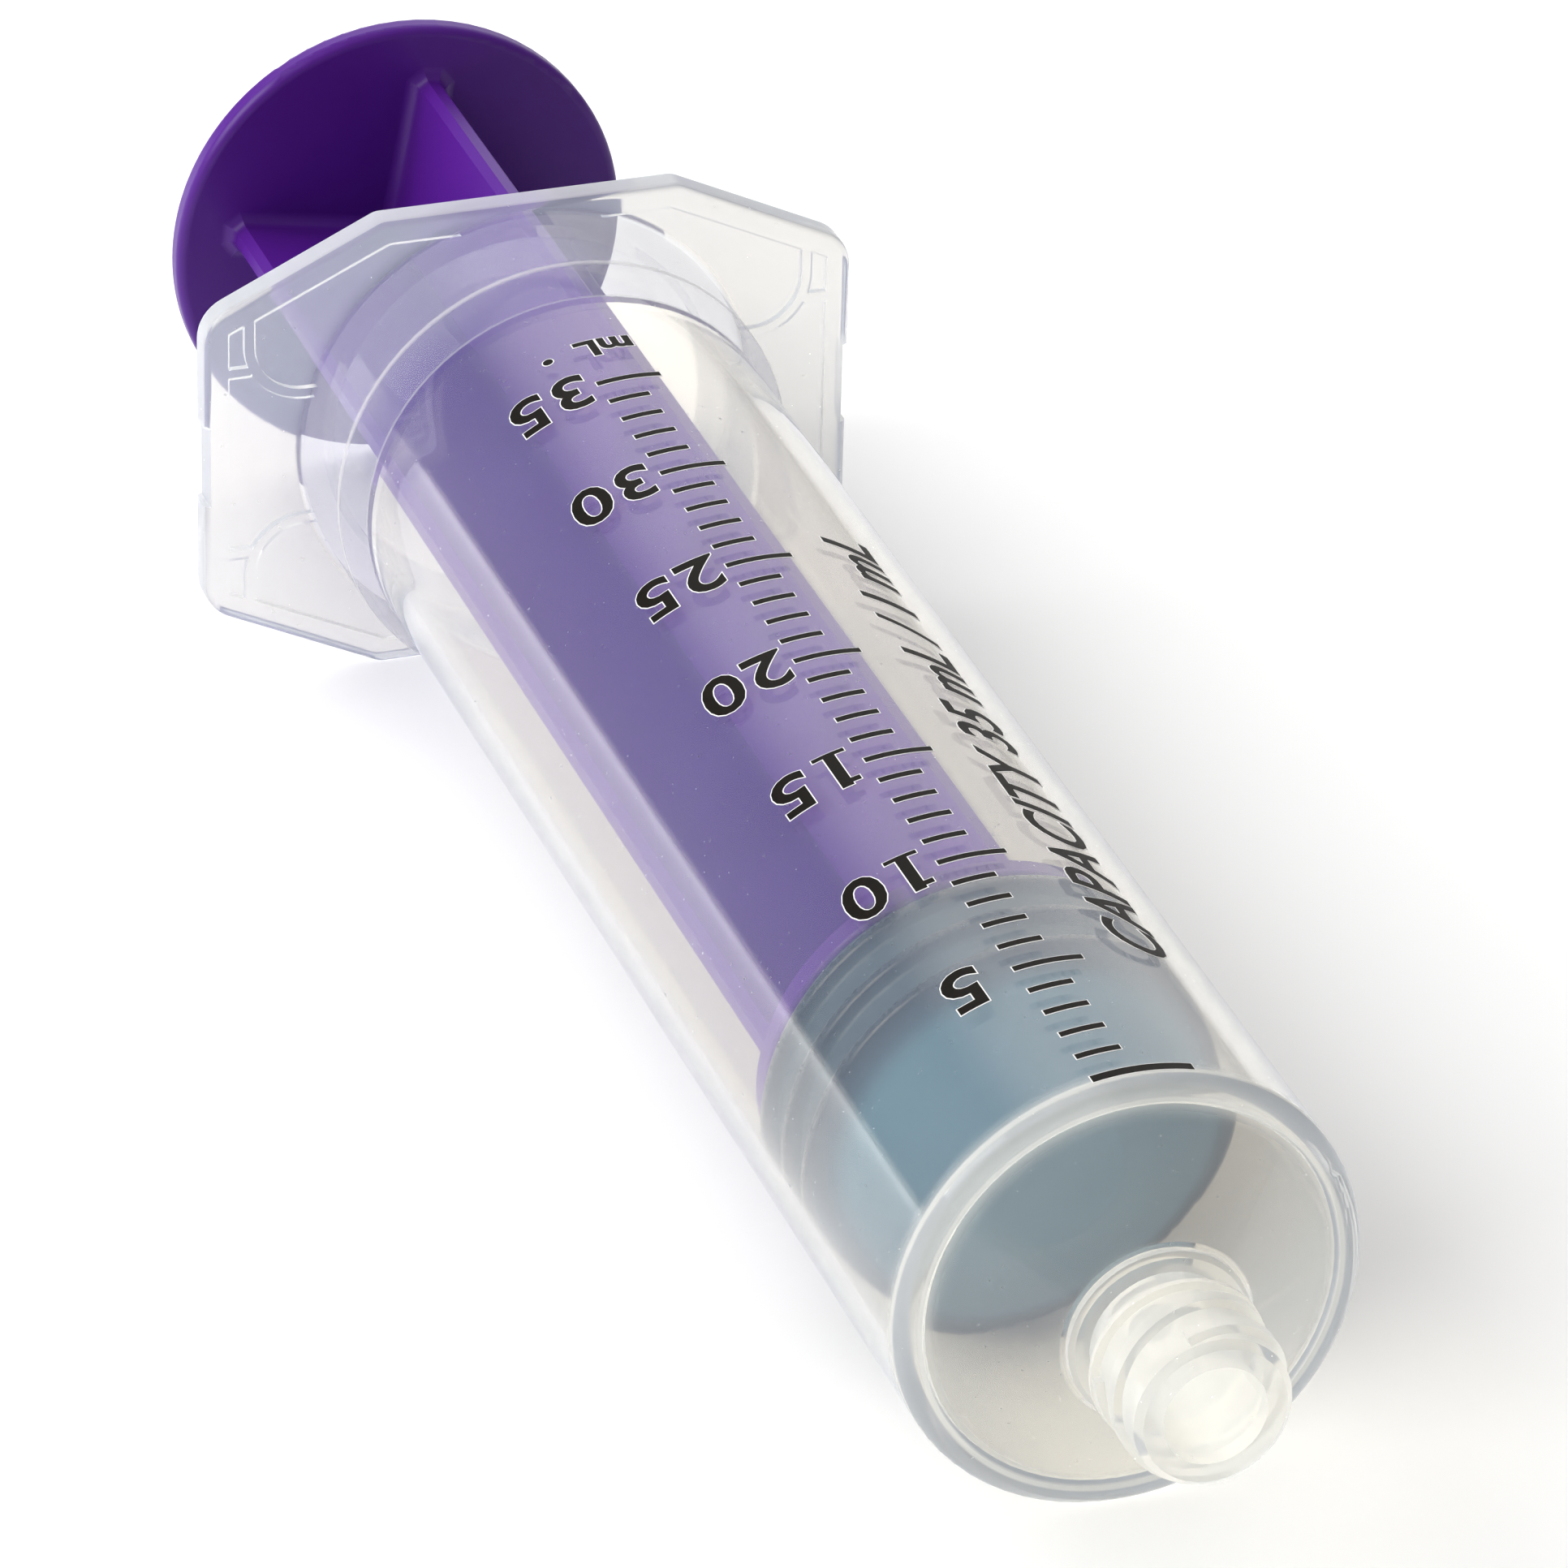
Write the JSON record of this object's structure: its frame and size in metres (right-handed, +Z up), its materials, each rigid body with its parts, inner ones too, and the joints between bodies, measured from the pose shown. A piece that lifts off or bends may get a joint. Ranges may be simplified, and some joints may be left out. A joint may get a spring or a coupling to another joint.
{
  "type": "oral syringe",
  "caption": "Clear oral dosing syringe with a threaded feeding tip, finger flange, ribbed stopper and cross-finned plunger rod.",
  "frame": {"origin": "centre of the tip socket's mouth, on the syringe's axis", "axes": "+X along the axis out of the tip, +Y along the finger flange, +Z up through the flange's flat long side"},
  "size_m": [0.1408, 0.0402, 0.0294],
  "materials": {
    "clear_polypropylene": "clear, slightly milky moulded polypropylene with black printed graduations",
    "stopper_elastomer": "soft satin blue-grey elastomer",
    "purple_plastic": "semi-gloss moulded purple plastic"
  },
  "bodies": {
    "barrel": {"barrel": "clear_polypropylene"},
    "stopper": {"stopper": "stopper_elastomer"},
    "plunger_rod": {"plunger_rod": "purple_plastic"}
  },
  "joints": [
    {"name": "plunger_slide", "type": "slide", "parent": "barrel", "child": "stopper", "axis": [1, 0, 0], "range_m": [-0.0667, 0.0138]},
    {"name": "rod_turn", "type": "hinge", "parent": "stopper", "child": "plunger_rod", "pos_m": [-0.032, 0, 0], "axis": [1, 0, 0], "continuous": true}
  ]
}
